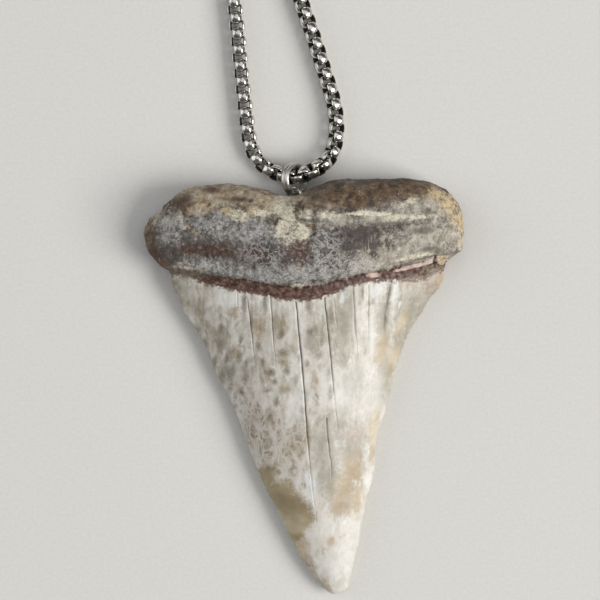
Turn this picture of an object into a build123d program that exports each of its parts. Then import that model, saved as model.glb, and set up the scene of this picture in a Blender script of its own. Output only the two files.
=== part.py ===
"""Shark tooth necklace, lying on a table with the tongue side of the tooth up.

A fossil tooth hangs by a wire eye and a split ring on a round box chain.
The chain is a closed loop of its full length and meets at a clasp.
Millimetres. +Z is up and the table is Z = 0. +Y runs from the tip of the tooth to the clasp.
The necklace is laid out from the notch in the top of the root, at X = Y = 0. The finished
pieces are then moved so that the origin lies on the table under the middle of the whole.
"""

import os
from math import cos, hypot, pi, radians, sin, sqrt, tan

from build123d import *

# Tooth, driving sizes
tooth_width = 60.4
root_height = 20.5
root_thickness = 15.0
root_lift = 2.6  # how far the ends of the root stand above the table
crown_length = 64.7  # from its top, which is sunk in the root, to the tip
crown_thickness = 11.6

# Split ring, two coils of wire side by side
ring_outer_diameter = 6.2
ring_wire = 0.88
ring_coil_pitch = 0.85
ring_tilt = 50.0  # degrees, with its left side raised and its right side on the table
ring_offset = 1.1  # how far left of the notch it hangs
ring_play = 0.35  # between it and the hollow ground in the root for it

# Wire eye, glued into the root
eye_wire = 0.7
eye_inner_diameter = 2.6
eye_play = 0.12  # between it and the ring that hangs in it
eye_clearance = 0.15  # all round it in its seat
shank_diameter = 1.0
shank_length = 7.0
glue_gap = 0.05

# Round box chain, as the round rod that its links fill
chain_diameter = 3.0

# Clasp, hidden behind the neck
clasp_body_width = 5.6
clasp_body_thickness = 2.8
clasp_edge_fillet = 0.8
clasp_ring_diameter = 6.0
clasp_ring_wire = 0.8
clasp_ring_reach = 1.6  # how far its rings reach in past the ends of the chain
chain_hole_play = 0.1  # round a clasp ring where it goes through the last link

# Where the notch and the sunk top of the crown lie, as shares of root_height down from the
# higher lobe, and where the notch lies across, as a share of tooth_width
NOTCH_DOWN = 0.156
NOTCH_ACROSS = 0.488
CROWN_TOP_DOWN = 0.624

# Shark tooth root, a row for each upright section from left to right.
# Columns: across, as a share of tooth_width. top and foot, as shares of root_height down from
# the higher lobe. thick, as a share of root_thickness. lift, as a share of root_lift.
ROOT_SECTIONS = (
    (0.011, 0.430, 0.600, 0.30, 1.00),
    (0.040, 0.318, 0.755, 0.46, 0.80),
    (0.068, 0.250, 0.810, 0.55, 0.65),
    (0.105, 0.154, 0.838, 0.62, 0.50),
    (0.160, 0.090, 0.862, 0.70, 0.38),
    (0.245, 0.056, 0.900, 0.80, 0.22),
    (0.335, 0.085, 0.950, 0.91, 0.10),
    (0.405, 0.140, 0.982, 0.97, 0.05),
    (0.460, 0.163, 0.990, 1.00, 0.03),
    (0.515, 0.105, 0.975, 1.00, 0.03),
    (0.605, 0.018, 0.935, 0.97, 0.06),
    (0.700, 0.008, 0.880, 0.90, 0.13),
    (0.795, 0.010, 0.826, 0.81, 0.26),
    (0.870, 0.028, 0.778, 0.72, 0.42),
    (0.928, 0.096, 0.745, 0.61, 0.62),
    (0.972, 0.210, 0.700, 0.46, 0.82),
    (0.990, 0.350, 0.620, 0.31, 1.00),
)
# The points that the two lobes run out to. Columns: across, down, height as a share of
# root_thickness.
ROOT_LEFT_END = (0.0, 0.515, 0.26)
ROOT_RIGHT_END = (1.0, 0.490, 0.26)
# The curve over every root section. Columns: share up from the foot, share of the thickness.
# A straight line along the underside closes it.
ROOT_CURVE = (
    (0.08, 0.00),
    (0.00, 0.42),
    (0.05, 0.78),
    (0.20, 0.93),
    (0.46, 1.00),
    (0.72, 0.94),
    (0.92, 0.74),
    (1.00, 0.46),
    (0.92, 0.00),
)

# Shark tooth crown, a row for each level from the root to the tip.
# Columns: down, as a share of crown_length. left and right, the cutting edges, as shares of
# tooth_width either side of the notch. back, edge and front, the heights over the table of the
# lip side, the cutting edges and the tongue side, as shares of crown_thickness.
CROWN_SECTIONS = (
    (0.000, 0.424, 0.468, 0.04, 0.34, 1.00),
    (0.043, 0.420, 0.462, 0.02, 0.32, 1.00),
    (0.107, 0.398, 0.434, 0.01, 0.29, 0.97),
    (0.153, 0.377, 0.400, 0.01, 0.27, 0.94),
    (0.223, 0.333, 0.350, 0.01, 0.25, 0.90),
    (0.292, 0.293, 0.319, 0.01, 0.23, 0.86),
    (0.397, 0.240, 0.282, 0.01, 0.21, 0.79),
    (0.501, 0.190, 0.254, 0.01, 0.20, 0.72),
    (0.605, 0.150, 0.232, 0.01, 0.19, 0.65),
    (0.710, 0.100, 0.213, 0.02, 0.19, 0.57),
    (0.814, 0.044, 0.188, 0.03, 0.19, 0.48),
    (0.884, 0.004, 0.173, 0.05, 0.19, 0.41),
    (0.953, -0.046, 0.154, 0.07, 0.19, 0.34),
    (0.988, -0.080, 0.139, 0.10, 0.19, 0.28),
)
CROWN_TIP = (1.0, 0.108, 0.19)  # down, right, height

# Middle of the chain, from the clasp down the left side, through the ring and up the right
# side. Columns: x and y from the middle of the ring, rise off the table.
CHAIN_ROUTE = (
    (-12.0, 243.0, 0.0),
    (-23.0, 243.0, 0.0),
    (-40.0, 237.0, 0.0),
    (-55.0, 224.0, 0.0),
    (-65.5, 205.5, 0.0),
    (-70.0, 183.0, 0.0),
    (-68.5, 158.5, 0.0),
    (-60.5, 134.5, 0.0),
    (-48.0, 112.0, 0.0),
    (-34.0, 91.5, 0.0),
    (-22.0, 72.0, 0.0),
    (-14.5, 53.0, 0.0),
    (-11.2, 33.6, 0.0),
    (-10.2, 22.4, 0.0),
    (-9.1, 11.9, 0.0),
    (-8.3, 5.9, 0.0),
    (-6.2, 2.7, 0.0),
    (-3.3, 1.1, 0.0),
    (0.0, 0.3, 1.2),
    (3.2, 1.3, 3.1),
    (5.6, 2.8, 1.0),
    (7.3, 5.2, 0.0),
    (8.0, 9.3, 0.0),
    (7.5, 14.1, 0.0),
    (5.8, 19.4, 0.0),
    (3.4, 27.1, 0.0),
    (1.0, 33.6, 0.0),
    (-1.3, 42.4, 0.0),
    (-1.8, 53.9, 0.0),
    (1.6, 68.0, 0.0),
    (9.6, 84.5, 0.0),
    (21.0, 102.0, 0.0),
    (34.5, 121.0, 0.0),
    (47.5, 141.0, 0.0),
    (57.5, 163.0, 0.0),
    (62.5, 186.5, 0.0),
    (60.0, 209.5, 0.0),
    (50.5, 228.0, 0.0),
    (36.0, 239.0, 0.0),
    (19.0, 243.0, 0.0),
    (8.0, 243.0, 0.0),
)


def across_tooth(share):
    """The X of a share of the tooth's width."""
    return (share - NOTCH_ACROSS) * tooth_width


def down_root(share):
    """The Y of a share of the root's height."""
    return (NOTCH_DOWN - share) * root_height


def root_section(across, top, foot, thick, lift):
    """The closed outline of one upright slice of the root."""
    low = lift * root_lift
    depth = thick * root_thickness - low
    height = down_root(top) - down_root(foot)
    curve = [(down_root(foot) + up * height, low + out * depth) for up, out in ROOT_CURVE]
    with BuildSketch(Plane.YZ.offset(across_tooth(across))) as outline:
        with BuildLine():
            Spline(curve)
            Line(curve[-1], curve[0])
        make_face()
    return outline.sketch


def root_end(across, down, high):
    """The point that a root lobe runs out to."""
    return Vertex(across_tooth(across), down_root(down), high * root_thickness)


def crown_level(down):
    """The Y of a share of the crown's length."""
    return down_root(CROWN_TOP_DOWN) - down * crown_length


def crown_section(down, left, right, back, edge, front):
    """One level slice of the crown, a lens with its points at the two cutting edges."""
    left_edge = (-left * tooth_width, edge * crown_thickness)
    right_edge = (right * tooth_width, edge * crown_thickness)
    middle = (left_edge[0] + right_edge[0]) / 2
    level = Plane(origin=(0, crown_level(down), 0), x_dir=(1, 0, 0), z_dir=(0, -1, 0))
    with BuildSketch(level) as outline:
        with BuildLine():
            ThreePointArc(left_edge, (middle, back * crown_thickness), right_edge)
            ThreePointArc(right_edge, (middle, front * crown_thickness), left_edge)
        make_face()
    return outline.sketch


def crown_end(down, right, high):
    """The point of the crown."""
    return Vertex(right * tooth_width, crown_level(down), high * crown_thickness)


def bend_radii(points):
    """The bend at each inner point, 0.45 of its shorter run over the tangent of half its turn."""
    radii = []
    for before, here, after in zip(points, points[1:], points[2:]):
        turn = radians((here - before).get_angle(after - here))
        radii.append(0.45 * min((here - before).length, (after - here).length) / tan(turn / 2))
    return radii


# The ring rests on the table with its right side and on the notch with its lower end
ring_radius = (ring_outer_diameter - ring_wire) / 2
ring_reach = hypot(ring_outer_diameter / 2, (ring_coil_pitch + ring_wire) / 2)
ring_axis = Vector(sin(radians(ring_tilt)), 0, cos(radians(ring_tilt)))
ring_height = ring_radius * ring_axis.X + ring_coil_pitch / 2 * ring_axis.Z + ring_wire / 2
ring_center = Vector(-ring_offset, ring_outer_diameter / 2, ring_height)
ring_plane = Plane(ring_center, x_dir=(0, 1, 0), z_dir=Vector(0, 1, 0).cross(ring_axis))

# The eye stands square to the ring, with the ring's two coils against the inside of its top
eye_radius = (eye_inner_diameter + eye_wire) / 2
eye_outer_radius = eye_radius + eye_wire / 2
coil_slack = eye_inner_diameter / 2 - ring_wire / 2 - eye_play
eye_drop = ring_radius + sqrt(coil_slack**2 - (ring_coil_pitch / 2) ** 2)
eye_center = ring_center - Vector(0, eye_drop, 0)
eye_axis = ring_plane.z_dir
eye_plane = Plane(eye_center, x_dir=(0, 1, 0), z_dir=ring_axis)
seat_plane = Plane(eye_center, x_dir=(1, 0, 0), z_dir=(0, -1, 0))

root_sections = [root_section(*row) for row in ROOT_SECTIONS]
with BuildPart() as root:
    loft([root_end(*ROOT_LEFT_END), *root_sections, root_end(*ROOT_RIGHT_END)])

crown_sections = [crown_section(*row) for row in CROWN_SECTIONS]
with BuildPart() as crown:
    loft([*crown_sections, crown_end(*CROWN_TIP)])

# The root is hollowed for the ring and drilled for the eye, under the lip of the notch
with BuildPart() as shark_tooth:
    add(root.part)
    add(crown.part)
    with Locations(ring_center):
        Sphere(ring_reach + ring_play, mode=Mode.SUBTRACT)
    with BuildSketch(seat_plane):
        Circle(eye_outer_radius + eye_clearance)
    extrude(amount=eye_outer_radius + eye_clearance, both=True, mode=Mode.SUBTRACT)
    with BuildSketch(seat_plane):
        Circle(shank_diameter / 2 + glue_gap)
    extrude(amount=eye_radius + shank_length + glue_gap, mode=Mode.SUBTRACT)
shark_tooth.part.label = "shark_tooth"

with BuildPart() as screw_eye:
    with BuildSketch(eye_plane):
        with Locations((eye_radius, 0)):
            Circle(eye_wire / 2)
    revolve(axis=Axis(eye_center, eye_axis))
    with BuildSketch(seat_plane.offset(eye_radius)):
        Circle(shank_diameter / 2)
    extrude(amount=shank_length)
screw_eye.part.label = "screw_eye"

with BuildPart() as split_ring:
    with BuildSketch(ring_plane):
        with Locations((ring_radius, ring_coil_pitch / 2), (ring_radius, -ring_coil_pitch / 2)):
            Circle(ring_wire / 2)
    revolve(axis=Axis(ring_center, ring_axis))
split_ring.part.label = "split_ring"

table_point = Vector(ring_center.X, ring_center.Y, chain_diameter / 2)
chain_points = [table_point + Vector(*point) for point in CHAIN_ROUTE]
chain_radii = bend_radii(chain_points)

# A clasp ring curves while it crosses the last link, so the hole there is wider than its wire
clasp_ring_radius = (clasp_ring_diameter - clasp_ring_wire) / 2
crossing_far = clasp_ring_diameter / 2
crossing_near = sqrt((crossing_far - clasp_ring_wire) ** 2 - (chain_diameter / 2) ** 2)
chain_hole_radius = (crossing_far - crossing_near) / 2 + chain_hole_play
chain_hole_inset = (crossing_far + crossing_near) / 2 - clasp_ring_radius + clasp_ring_reach

with BuildPart() as chain:
    with BuildLine():
        chain_path = FilletPolyline(*chain_points, radius=chain_radii)
    with BuildSketch(Plane(chain_path @ 0, z_dir=chain_path % 0)):
        Circle(chain_diameter / 2)
    sweep(path=chain_path)
    for end, outward in ((chain_points[0], -1), (chain_points[-1], 1)):
        hole_center = end + Vector(outward * chain_hole_inset, 0, 0)
        with BuildSketch(Plane(hole_center, x_dir=(1, 0, 0), z_dir=(0, 1, 0))):
            Circle(chain_hole_radius)
        extrude(amount=chain_diameter, both=True, mode=Mode.SUBTRACT)
chain.part.label = "chain"

clasp_center = (chain_points[0] + chain_points[-1]) / 2
clasp_gap = (chain_points[-1] - chain_points[0]).length
clasp_ring_offset = clasp_gap / 2 + clasp_ring_reach - clasp_ring_radius
clasp_body_half = clasp_ring_offset - clasp_ring_radius + clasp_ring_wire
with BuildPart() as clasp:
    with BuildSketch(Plane(clasp_center - Vector(0, 0, clasp_body_thickness / 2))):
        Ellipse(clasp_body_half, clasp_body_width / 2)
    extrude(amount=clasp_body_thickness)
    fillet(clasp.edges(), clasp_edge_fillet)
    for side in (-1, 1):
        clasp_ring_center = clasp_center + Vector(side * clasp_ring_offset, 0, 0)
        with BuildSketch(Plane(clasp_ring_center, x_dir=(1, 0, 0), z_dir=(0, -1, 0))):
            with Locations((clasp_ring_radius, 0)):
                Circle(clasp_ring_wire / 2)
        revolve(axis=Axis(clasp_ring_center, (0, 0, 1)))
clasp.part.label = "clasp"

# The origin goes on the table under the middle of the whole necklace
pieces = (shark_tooth, screw_eye, split_ring, chain, clasp)
whole = Compound([piece.part for piece in pieces]).bounding_box()
base = Vector(whole.center().X, whole.center().Y, 0)
for piece in pieces:
    piece.part.position -= base

os.makedirs("parts", exist_ok=True)
export_step(shark_tooth.part, "parts/shark_tooth.step")
export_step(screw_eye.part, "parts/screw_eye.step")
export_step(split_ring.part, "parts/split_ring.step")
export_step(chain.part, "parts/chain.step")
export_step(clasp.part, "parts/clasp.step")

chain_length = chain_path.length
print("notch at", -base, "ring middle at", ring_center - base)
print("whole", whole.size, "lowest", whole.min.Z)
print("chain length", chain_length, "closed length with the clasp", chain_length + clasp_gap)
print("chain radii", [round(radius, 1) for radius in chain_radii])
print("chain volume", chain.part.volume, "section times length", pi * chain_diameter**2 / 4 * chain_length)
for piece in pieces:
    print(piece.part.label, "volume", piece.part.volume, "valid", piece.part.is_valid)
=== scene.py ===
from math import atan2, cos, pi, radians, sin

import bmesh
import bpy
import numpy as np
from mathutils import Matrix, Vector, noise


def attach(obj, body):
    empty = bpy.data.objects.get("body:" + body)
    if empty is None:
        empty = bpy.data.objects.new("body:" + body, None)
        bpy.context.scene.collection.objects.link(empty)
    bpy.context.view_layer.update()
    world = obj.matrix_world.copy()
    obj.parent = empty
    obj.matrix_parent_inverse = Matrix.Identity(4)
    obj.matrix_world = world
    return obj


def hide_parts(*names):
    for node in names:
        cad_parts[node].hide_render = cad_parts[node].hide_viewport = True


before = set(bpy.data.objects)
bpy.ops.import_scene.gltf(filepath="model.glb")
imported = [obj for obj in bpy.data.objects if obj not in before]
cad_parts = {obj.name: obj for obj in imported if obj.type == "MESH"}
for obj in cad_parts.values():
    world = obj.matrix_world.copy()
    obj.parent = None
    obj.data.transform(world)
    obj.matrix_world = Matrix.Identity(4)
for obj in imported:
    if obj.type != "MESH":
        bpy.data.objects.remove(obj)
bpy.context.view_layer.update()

# Fossil shark tooth: one solid of root and crown, brown and grey from a long time in the ground.
# The root is porous and rough with crusts of clay and ochre, and the crown is cracked enamel,
# leached chalky white in places. Only its shape is natural, and nothing is carved on it.
mm = 0.001
notch = Vector((4.981, -87.403, 0)) * mm  # in the top of the root, on the table
voxel = 0.50 * mm  # the step of the grid that evens the mesh out
ring_middle = Vector((-1.1, 3.1, 2.75))  # from the notch, in mm, as every place on the tooth
hollow_radius = 3.6  # in mm, of the hollow round it

# The two edges of the dark band between root and crown, from left to right
band_top = (
    (-31.0, -11.5), (-26.0, -13.4), (-24.0, -14.0), (-20.7, -14.3), (-17.9, -14.5), (-13.2, -15.3),
    (-9.4, -15.8), (-5.7, -16.7), (-0.8, -17.1), (3.7, -16.8), (7.4, -15.7), (13.1, -14.5),
    (20.6, -13.0), (25.2, -12.0), (25.8, -13.0), (32.0, -13.4),
)
band_foot = (
    (-31.0, -12.2), (-24.0, -14.9), (-20.7, -15.3), (-17.9, -16.6), (-13.2, -17.7), (-9.4, -18.3),
    (-3.8, -19.4), (0.4, -19.8), (3.7, -19.3), (7.4, -17.9), (9.5, -16.8), (13.1, -16.2),
    (21.5, -16.0), (23.4, -15.7), (25.3, -14.3), (32.0, -13.9),
)

# Cracks down the enamel and one by the right corner of the root: width, depth and the points
cracks = (
    (0.15, 0.36, (
        (-0.8, -19.8), (0.1, -29.5), (0.75, -37.0), (1.25, -43.9), (1.7, -49.7), (2.4, -56.1),
        (2.8, -58.1),
    )),
    (0.13, 0.30, ((4.5, -19.1), (5.25, -26.0), (6.0, -33.8), (7.0, -43.9))),
    (0.12, 0.26, ((4.9, -41.6), (5.15, -45.4), (5.7, -49.7), (5.85, -53.3))),
    (0.12, 0.23, ((-9.8, -19.5), (-9.05, -26.0), (-8.4, -32.3))),
    (0.12, 0.23, ((-5.6, -18.6), (-4.9, -28.5), (-4.6, -31.9))),
    (0.12, 0.24, ((9.8, -16.5), (10.25, -24.4), (10.7, -30.4))),
    (0.11, 0.19, ((12.7, -16.7), (12.7, -27.6))),
    (0.10, 0.13, ((6.2, -18.9), (6.95, -26.3))),
    (0.10, 0.13, ((16.9, -16.0), (15.7, -22.3), (15.7, -27.6))),
    (0.10, 0.14, ((-11.8, -17.9), (-11.6, -22.3))),
    (0.09, 0.12, ((2.85, -59.0), (3.0, -61.6))),
    (0.22, 0.45, ((25.3, -11.4), (25.0, -12.6), (25.2, -13.7))),
)

tooth_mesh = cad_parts["shark_tooth"].data.copy()
shape = bmesh.new()
shape.from_mesh(tooth_mesh)
bmesh.ops.remove_doubles(shape, verts=shape.verts, dist=0.004 * mm)
shape.to_mesh(tooth_mesh)
shape.free()
tooth = bpy.data.objects.new("fossil_tooth", tooth_mesh)
bpy.context.scene.collection.objects.link(tooth)
even = tooth.modifiers.new("even mesh", "REMESH")
even.mode = "VOXEL"
even.voxel_size = voxel
evened = bpy.data.meshes.new_from_object(tooth.evaluated_get(bpy.context.evaluated_depsgraph_get()))
tooth.modifiers.clear()
tooth.data = evened


def places(mesh):
    """Every vertex of a mesh on the tooth, in mm from the notch."""
    flat = np.empty(len(mesh.vertices) * 3, np.float32)
    mesh.vertices.foreach_get("co", flat)
    return (flat.reshape(-1, 3).astype(float) - np.array(notch)) / mm


def smooth(shape, verts, rounds, factors):
    """Smooths some of the vertices again and again, by each factor in turn."""
    for _ in range(rounds):
        for factor in factors:
            bmesh.ops.smooth_vert(
                shape, verts=verts, factor=factor, use_axis_x=True, use_axis_y=True, use_axis_z=True
            )


def eased(low, high, value):
    """0 below low and 1 above high, with a smooth rise between."""
    share = np.clip((value - low) / (high - low), 0, 1)
    return share * share * (3 - 2 * share)


def from_line(place, points):
    """How far each place is from a bent line, seen from above."""
    best = np.full(len(place), 1e9)
    for start, end in zip(points, points[1:]):
        start = np.array(start, float)
        run = np.array(end, float) - start
        along = np.clip((place[:, :2] - start) @ run / (run @ run), 0, 1)
        gap = place[:, :2] - start - along[:, None] * run
        best = np.minimum(best, np.hypot(gap[:, 0], gap[:, 1]))
    return best


def edge_height(place, edge):
    """How far each place is above an edge of the band."""
    return place[:, 1] - np.interp(place[:, 0], [x for x, y in edge], [y for x, y in edge])


# The grid's small steps are smoothed in and let out again, which keeps the tooth's size
in_and_out = (0.5, -0.52)
shape = bmesh.new()
shape.from_mesh(tooth.data)
place = places(tooth.data)
shape.verts.ensure_lookup_table()
smooth(shape, shape.verts, 14, in_and_out)

# The step between root and crown is worn to a soft shoulder on the tongue side
step_drop = 0.6  # from the band's top edge down to the middle of the step, in mm
step_floor = 2.2  # how high the step begins over the table, in mm
for rounds, reach in ((17, 3.4), (14, 2.2)):
    worn = [
        vert
        for vert, over, at in zip(shape.verts, edge_height(place, band_top), place)
        if abs(over + step_drop) < reach and at[2] > step_floor
    ]
    smooth(shape, worn, rounds, (0.5,))

# The crown's thin rim is faired along its length
rim_start = -0.6  # from the foot of the band, in mm
rim_slope = 0.75  # the rim's faces look less upwards or downwards than this
shape.normal_update()
rim = [
    vert
    for vert, over in zip(shape.verts, edge_height(place, band_foot))
    if over < rim_start and abs(vert.normal.z) < rim_slope
]
smooth(shape, rim, 60, in_and_out)

# The mesh is made finer on the tongue side, and once more along the cracks
crack_reach, fine_floor, fine_slope = 0.4, 1.5, 0.1
for whole_face in (True, False):
    shape.faces.ensure_lookup_table()
    middles = np.array([face.calc_center_median() for face in shape.faces])
    place = (middles - np.array(notch)) / mm
    up = np.array([face.normal.z for face in shape.faces])
    near = np.full(len(place), whole_face)
    for _, _, points in cracks:
        near |= from_line(place, points) < crack_reach
    near &= (place[:, 2] > fine_floor) & (up > fine_slope)
    edges = {edge for face, fine in zip(shape.faces, near) if fine for edge in face.edges}
    bmesh.ops.subdivide_edges(shape, edges=list(edges), cuts=1, use_grid_fill=True)
bmesh.ops.triangulate(shape, faces=[face for face in shape.faces if len(face.verts) > 4])
shape.to_mesh(tooth.data)
shape.free()

# Where each vertex is, from 0 to 1: on the tongue side, on the root and on the band
place = places(tooth.data)
normals = np.empty(len(place) * 3, np.float32)
tooth.data.vertices.foreach_get("normal", normals)
normals = normals.reshape(-1, 3).astype(float)
over_foot = edge_height(place, band_foot)
over_top = edge_height(place, band_top)
tongue_side = eased(-0.1, 0.35, normals[:, 2])
on_root = eased(-0.3, 0.3, over_top) * tongue_side
on_root += eased(-0.8, 0.8, over_foot) * (1 - tongue_side)
on_band = eased(-0.3, 0.3, over_foot) * eased(-0.3, 0.3, -over_top) * tongue_side


def rough(place, size, seed):
    """Smooth bumps of about one size, from -1 to 1."""
    shift = Vector((seed * 17.3, seed * 5.1, seed * 9.7))
    return np.array([noise.noise(Vector(p) / size + shift) for p in place])


def pitted(place, size, seed):
    """How far each place is from the nearest of many scattered points, as a share of size."""
    shift = Vector((seed * 11.9, seed * 3.7, seed * 7.3))
    return np.array([noise.voronoi(Vector(p) / size + shift)[0][0] for p in place])


# The root's lumps, bumps and grains, of four sizes, and its pits, in patches. All is in mm.
bump_sizes = (5.5, 2.1, 0.95, 0.5)
big, middling, small, fine = [rough(place, size, seed) for seed, size in enumerate(bump_sizes, 1)]
pit_spacing, pit_patch, pit_depth = 1.7, 4.0, 0.28
pit_patches = eased(0.05, 0.4, rough(place, pit_patch, 6))
pits = eased(0.42, 0.12, pitted(place, pit_spacing, 5)) * pit_patches
out = on_root * (0.30 * big + 0.20 * middling + 0.12 * small + 0.07 * fine - pit_depth * pits)

# The root ends over the dark band in a worn lip, and the band is sunk and granular
lip_height, lip_middle, lip_width = 0.16, 0.8, 0.7
band_depth = 0.20
lip = on_root * tongue_side * np.exp(-((over_top - lip_middle) / lip_width) ** 2)
out += lip_height * lip + on_band * (-band_depth + 0.10 * small + 0.10 * fine)

# Furrows, with width, depth and points: the first two run down from the notch, where blood
# vessels went in, and the others are wear
furrows = (
    (0.50, 0.55, ((-0.2, -1.0), (0.3, -2.6), (0.2, -4.2))),
    (0.60, 0.42, ((2.3, -5.2), (1.9, -7.2), (1.2, -9.2))),
    (0.28, 0.25, ((4.9, -3.0), (9.0, -3.4), (14.0, -3.9), (19.0, -3.2))),
    (0.30, 0.30, ((-21.8, -5.0), (-19.2, -8.0))),
    (0.30, 0.28, ((-11.0, -2.6), (-8.0, -3.6), (-5.0, -5.0))),
    (0.26, 0.45, ((16.5, -13.1), (19.6, -12.5), (23.4, -11.6), (26.2, -11.2), (29.5, -11.0))),
    (0.8, 0.35, ((21.0, -6.0), (24.5, -6.4))),
    (1.1, 0.30, ((-20.5, -3.6), (-18.0, -7.5))),
    (0.9, 0.30, ((8.0, -6.0), (15.0, -6.6))),
)
for width, depth, points in furrows:
    out -= depth * np.exp(-(from_line(place, points) / width) ** 2) * tongue_side
# One more is chipped right through the edge of the left lobe
chip_width, chip_depth, chip = 0.5, 0.45, ((-27.5, -2.6), (-25.0, -3.2))
out -= chip_depth * np.exp(-(from_line(place, chip) / chip_width) ** 2)

# The enamel has shallow flutes down its length
on_crown = (1 - on_root) * (1 - on_band)
flute_size = np.array((1.5, 16.0, 6.0))
flutes = np.array([noise.noise(Vector(p / flute_size)) for p in place])
out += on_crown * (0.05 * flutes + 0.06 * big + 0.02 * middling)

# The rim, which the smoothing drew in, is let out to its true width, most by the root's corners
rim_gain, corner_gain, corner_height, corner_width = 0.36, 0.30, -16.0, 3.0
sideways = eased(0.35, 0.9, np.hypot(normals[:, 0], normals[:, 1]))
by_corner = np.exp(-((place[:, 1] - corner_height) / corner_width) ** 2)
out += sideways * (rim_gain * eased(0.5, -0.5, over_foot) + corner_gain * by_corner)

# The cracks wander a little off their lines and thin out towards their lower ends
crack_depth = np.zeros(len(place))
wander = 0.10 * rough(place * np.array((1.0, 0.35, 1.0)), 0.8, 7)
for width, depth, points in cracks:
    bent = place.copy()
    bent[:, 0] += wander
    gap = from_line(bent, points)
    halfway = points[0][1] * 0.5 + points[-1][1] * 0.5
    thin = 1 - 0.6 * eased(halfway, points[-1][1], place[:, 1])
    groove = np.exp(-(gap / (width * thin)) ** 2) * tongue_side
    out -= depth * thin * groove
    crack_depth = np.maximum(crack_depth, groove * min(1.0, depth / 0.3) * thin)

# Nothing stands into the hollow that the ring and its eye hang in, or below the table
to_hollow = np.linalg.norm(place - np.array(ring_middle), axis=1)
out *= eased(hollow_radius + 0.1, hollow_radius + 1.2, to_hollow)
place += normals * out[:, None]
place[:, 2] = np.maximum(place[:, 2], 0)
tooth.data.vertices.foreach_set("co", (place * mm + np.array(notch)).astype(np.float32).ravel())
tooth.data.update()
tooth.data.shade_smooth()

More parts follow.
